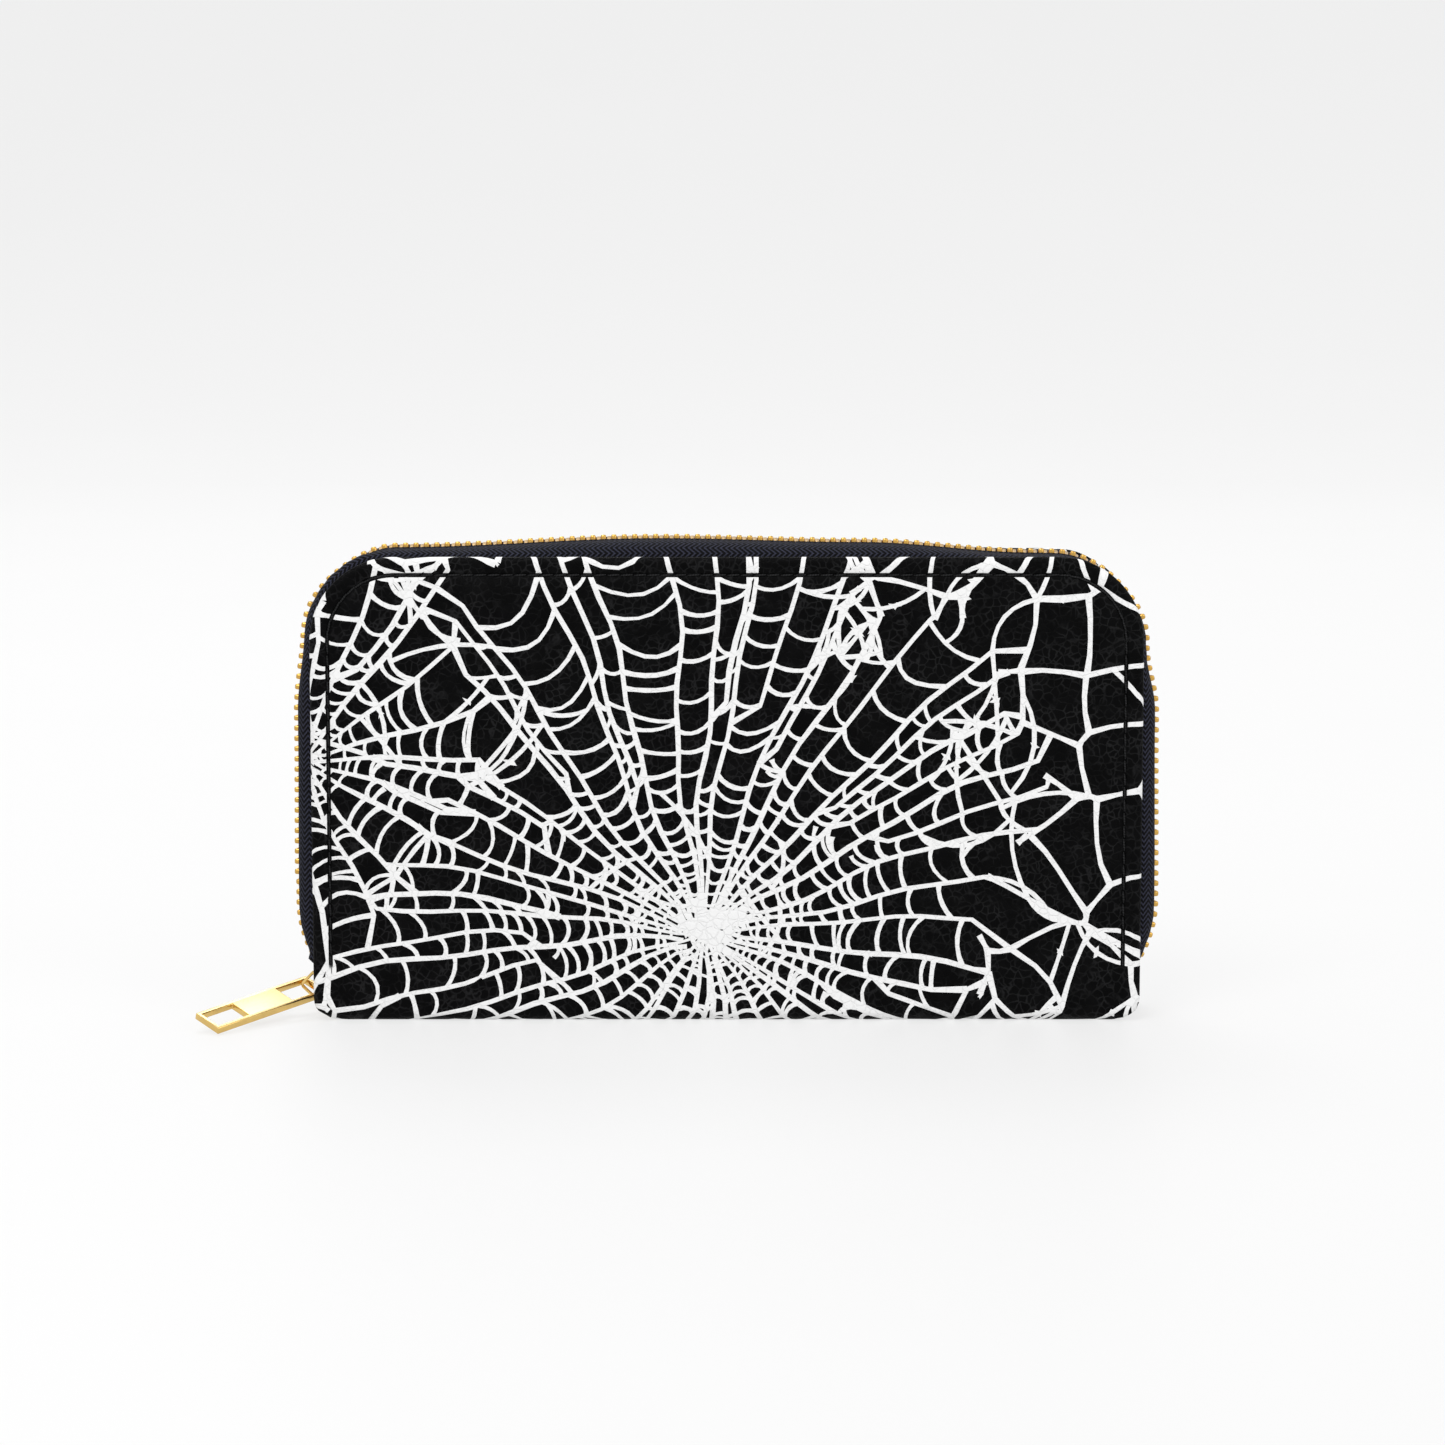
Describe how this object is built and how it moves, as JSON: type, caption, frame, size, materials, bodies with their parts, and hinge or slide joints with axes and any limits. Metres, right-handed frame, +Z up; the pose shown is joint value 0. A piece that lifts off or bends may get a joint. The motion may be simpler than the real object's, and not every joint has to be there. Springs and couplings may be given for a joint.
{
  "type": "zip around wallet",
  "caption": "Long leather wallet with a metal zip round three sides, a bar pull, a zipped coin pocket, note compartments and card tiers; stands on its spine.",
  "frame": {"origin": "middle of the flat underside of the spine, which the wallet stands on", "axes": "+X to the right along the spine, -Y out of the front cover, +Z up from the spine to the zip"},
  "size_m": [0.2266, 0.0406, 0.1144],
  "materials": {
    "leather": "pebble-grained, semi-matt, printed with a white cobweb",
    "lining": "matt woven lining",
    "card_panel": "smooth, semi-matt",
    "board": "raw board",
    "zip_tape": "herringbone woven tape",
    "thread": "waxed thread",
    "gold": "polished, light gold"
  },
  "bodies": {
    "root": {"spine_cover": "leather", "spine_board": "board", "spine_lining": "lining", "zip_bottom_stop": "gold", "gusset_left_front": "lining", "gusset_left_back": "lining", "gusset_right_front": "lining", "gusset_right_back": "lining", "coin_pocket_front": "lining", "coin_pocket_back": "lining", "coin_pocket_base": "lining", "coin_tape_front": "zip_tape", "coin_tape_back": "zip_tape", "coin_teeth_front": "gold", "coin_teeth_back": "gold", "coin_stops": "gold"},
    "front_half": {"front_cover": "leather", "front_board": "board", "front_lining": "lining", "front_stitching": "thread", "zip_tape_front": "zip_tape", "zip_teeth_front": "gold", "zip_teeth_front_foot": "gold", "zip_top_stop_front": "gold", "front_card_backing": "card_panel", "front_card_tier_1": "card_panel", "front_card_tier_2": "card_panel", "front_card_tier_3": "card_panel", "front_card_tier_4": "card_panel"},
    "back_half": {"back_cover": "leather", "back_board": "board", "back_lining": "lining", "back_stitching": "thread", "zip_tape_back": "zip_tape", "zip_teeth_back": "gold", "zip_teeth_back_foot": "gold", "zip_top_stop_back": "gold", "back_card_backing": "card_panel", "back_card_tier_1": "card_panel", "back_card_tier_2": "card_panel", "back_card_tier_3": "card_panel", "back_card_tier_4": "card_panel"},
    "zip_slider": {"zip_slider_body": "gold", "zip_slider_bridge": "gold"},
    "zip_pull": {"zip_pull": "gold"},
    "coin_slider": {"coin_slider_body": "gold", "coin_slider_bridge": "gold"},
    "coin_pull": {"coin_pull": "gold"}
  },
  "joints": [
    {"name": "front_cover_swing", "type": "hinge", "parent": "root", "child": "front_half", "pos_m": [0, -0.0119, 0.003], "axis": [1, 0, 0], "range_deg": [0, 30], "deforming": ["zip_tape_front", "gusset_left_front", "gusset_right_front"]},
    {"name": "back_cover_swing", "type": "hinge", "parent": "root", "child": "back_half", "pos_m": [0, 0.0119, 0.003], "axis": [1, 0, 0], "range_deg": [-30, 0], "deforming": ["zip_tape_back", "gusset_left_back", "gusset_right_back"]},
    {"name": "zip_slider_travel", "type": "hinge", "parent": "back_half", "child": "zip_slider", "pos_m": [-0.075, 0, 0.027], "axis": [0, 1, 0], "range_deg": [0, 45.9], "deforming": ["zip_teeth_front_foot", "zip_teeth_back_foot"]},
    {"name": "zip_pull_lift", "type": "hinge", "parent": "zip_slider", "child": "zip_pull", "pos_m": [-0.09831, 0, 0.00603], "axis": [-0.7261, 0.6032, 0.33], "range_deg": [0, 35]},
    {"name": "coin_slider_travel", "type": "slide", "parent": "root", "child": "coin_slider", "axis": [1, 0, 0], "range_m": [0, 0.143], "deforming": ["coin_teeth_front", "coin_teeth_back"]},
    {"name": "coin_pull_lift", "type": "hinge", "parent": "coin_slider", "child": "coin_pull", "pos_m": [-0.0715, 0, 0.0997], "axis": [0, -1, 0], "range_deg": [0, 25]}
  ],
  "couplings": [
    {"joint": "back_cover_swing", "follows": "front_cover_swing", "ratio": -1}
  ]
}
